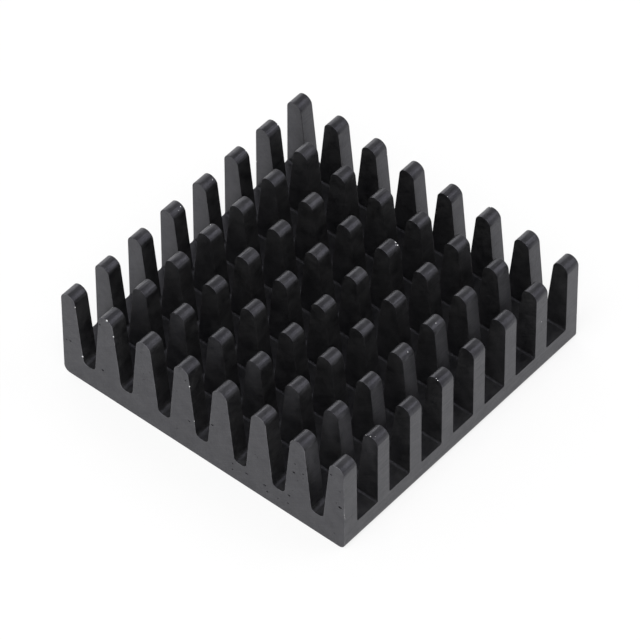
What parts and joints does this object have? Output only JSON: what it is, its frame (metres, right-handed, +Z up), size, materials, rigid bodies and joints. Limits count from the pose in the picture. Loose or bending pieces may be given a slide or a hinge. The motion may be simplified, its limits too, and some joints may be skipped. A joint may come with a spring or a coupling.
{
  "type": "pin fin heat sink",
  "caption": "Square black anodised heat sink: a flat base plate with a grid of upright tapered pins with rounded tips, for cooling a chip.",
  "frame": {"origin": "centre of the flat underside of the base plate", "axes": "+Z up along the pins; X across the extruded fins; Y along the extrusion, with the front sawn end at -Y"},
  "size_m": [0.04, 0.0396, 0.0127],
  "materials": {
    "black_anodised": "satin black anodised, extruded sides and matt sawn ends"
  },
  "bodies": {
    "root": {"heat_sink": "black_anodised"}
  },
  "joints": []
}
